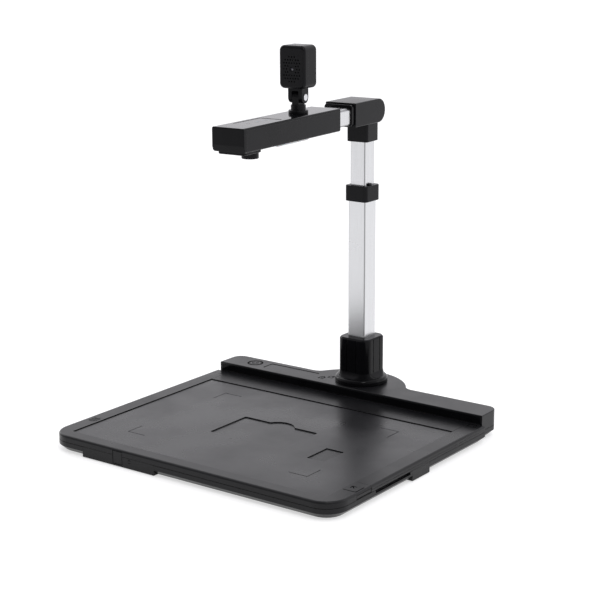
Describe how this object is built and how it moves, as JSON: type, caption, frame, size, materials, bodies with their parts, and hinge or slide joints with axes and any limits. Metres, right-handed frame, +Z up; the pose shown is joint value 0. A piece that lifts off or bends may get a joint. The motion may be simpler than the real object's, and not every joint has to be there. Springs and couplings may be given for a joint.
{
  "type": "book scanner",
  "caption": "Free-standing book scanner: flat document base with a rear bar, telescopic mast, folding and extending camera arm, and a small swivelling second camera.",
  "frame": {"origin": "middle of the footprint, at the surface that the rubber feet stand on", "axes": "+Z up, -Y towards the reader at the front of the base, +X to the right; the mast stands at +Y"},
  "size_m": [0.329, 0.32, 0.3774],
  "materials": {
    "base_plastic": "fine satin texture",
    "pad_sheet": "soft touch",
    "gloss_black": "polished",
    "milky_plastic": "milky diffusing",
    "indicator_tint": "smoked light pipe",
    "window_glass": "dark window over the sensor",
    "optic_glass": "coated",
    "inner_plastic": "moulded",
    "circuit_board": "solder mask",
    "steel": "plain",
    "foot_rubber": "matte",
    "mast_aluminium": "satin anodised",
    "head_plastic": "satin"
  },
  "bodies": {
    "base": {"bottom_shell": "base_plastic", "top_deck": "base_plastic", "document_pad": "pad_sheet", "side_rail_left": "base_plastic", "side_rail_right": "base_plastic", "bar_cover": "base_plastic", "bar_front_strip": "gloss_black", "label_plate": "base_plastic", "power_ring": "gloss_black", "front_module": "base_plastic", "side_block": "base_plastic", "sensor_window": "window_glass", "sensor_module": "inner_plastic", "indicator": "indicator_tint", "card_reader": "inner_plastic", "main_board": "circuit_board", "ballast_plate": "steel", "port_board": "circuit_board", "usb_connectors": "steel", "rubber_feet": "foot_rubber", "base_screws": "steel", "tact_switches": "inner_plastic", "mast_foot_plate": "steel", "mast_socket": "gloss_black", "lower_tube": "mast_aluminium", "mast_collar": "head_plastic", "collar_screw": "steel", "collar_key": "head_plastic"},
    "latch_button": {"latch_button": "base_plastic"},
    "side_button": {"side_button": "base_plastic"},
    "power_button": {"power_button": "gloss_black"},
    "mast": {"upper_tube": "mast_aluminium", "mast_glide": "head_plastic", "mast_head_plug": "head_plastic"},
    "neck": {"neck": "head_plastic"},
    "elbow": {"elbow_housing": "head_plastic", "elbow_rim": "gloss_black", "fold_pin": "steel", "arm_tube": "mast_aluminium"},
    "arm": {"arm_bottom_cover": "head_plastic", "arm_top_cover": "gloss_black", "arm_front_cap": "gloss_black", "arm_glide": "head_plastic", "touch_panel": "gloss_black", "lens_bezel": "head_plastic", "lens_hood": "head_plastic", "lens_barrel": "head_plastic", "lens_glass": "optic_glass", "sensor_board": "circuit_board", "led_board": "circuit_board", "led_diffuser": "milky_plastic"},
    "aux_foot": {"aux_base": "head_plastic", "aux_clip": "steel"},
    "aux_camera": {"aux_fork": "head_plastic", "aux_pin": "steel", "aux_front_cover": "head_plastic", "aux_rear_cover": "head_plastic", "aux_lens": "head_plastic", "aux_board": "circuit_board"}
  },
  "joints": [
    {"name": "mast_lift", "type": "slide", "parent": "base", "child": "mast", "axis": [0, 0, 1], "range_m": [-0.041, 0.06]},
    {"name": "head_swivel", "type": "hinge", "parent": "mast", "child": "neck", "pos_m": [0, 0.126, 0.2742], "axis": [0, 0, 1], "range_deg": [-93.8, 86.2]},
    {"name": "arm_fold", "type": "hinge", "parent": "neck", "child": "elbow", "pos_m": [-0.00026, 0.12999, 0.3047], "axis": [-0.9978, -0.0663, 0], "range_deg": [0, 90]},
    {"name": "arm_extend", "type": "slide", "parent": "elbow", "child": "arm", "axis": [0.0663, -0.9978, 0], "range_m": [-0.021, 0.035]},
    {"name": "aux_swivel", "type": "hinge", "parent": "arm", "child": "aux_foot", "pos_m": [0.00785, 0.00776, 0.3147], "axis": [0, 0, 1], "range_deg": [-170, 170]},
    {"name": "aux_tilt", "type": "hinge", "parent": "aux_foot", "child": "aux_camera", "pos_m": [0.00785, 0.00776, 0.3296], "axis": [0.9978, 0.0663, 0], "range_deg": [-45, 80]},
    {"name": "latch_press", "type": "slide", "parent": "base", "child": "latch_button", "axis": [0, 1, 0], "range_m": [0, 0.001], "stiffness_N_per_m": 400},
    {"name": "side_press", "type": "slide", "parent": "base", "child": "side_button", "axis": [-1, 0, 0], "range_m": [0, 0.001], "stiffness_N_per_m": 400},
    {"name": "power_press", "type": "slide", "parent": "base", "child": "power_button", "axis": [0, 0, -1], "range_m": [0, 0.001], "stiffness_N_per_m": 400}
  ]
}
